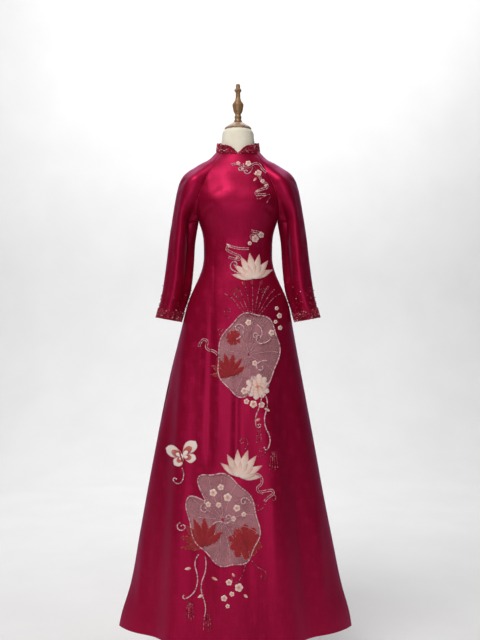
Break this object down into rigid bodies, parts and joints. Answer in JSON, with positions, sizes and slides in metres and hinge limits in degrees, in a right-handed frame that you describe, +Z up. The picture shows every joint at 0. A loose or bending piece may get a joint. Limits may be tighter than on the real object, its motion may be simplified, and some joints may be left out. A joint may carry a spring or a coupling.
{
  "type": "ao dai tunic on a limbless dress form",
  "caption": "Long fitted satin tunic with a stand collar, raglan sleeves and side slits, hung on a limbless dress form with a pole and round base.",
  "frame": {"origin": "on the floor, under the middle of the hem", "axes": "+Z up along the body, -Y the way the front faces, +X to the viewer's right as the front is seen"},
  "size_m": [0.7058, 0.3886, 1.807],
  "materials": {
    "tunic_satin": "deep crimson jacquard satin",
    "form_linen": "cream linen cover over a padded form",
    "form_wood": "turned and waxed wood",
    "pole_steel": "brushed steel tube"
  },
  "bodies": {
    "root": {"front_panel": "tunic_satin", "back_panel": "tunic_satin", "sleeve_left": "tunic_satin", "sleeve_right": "tunic_satin", "collar": "tunic_satin", "form_torso": "form_linen", "form_cap": "form_wood", "form_finial": "form_wood", "stand_base": "form_wood", "stand_pole": "pole_steel"}
  },
  "joints": []
}
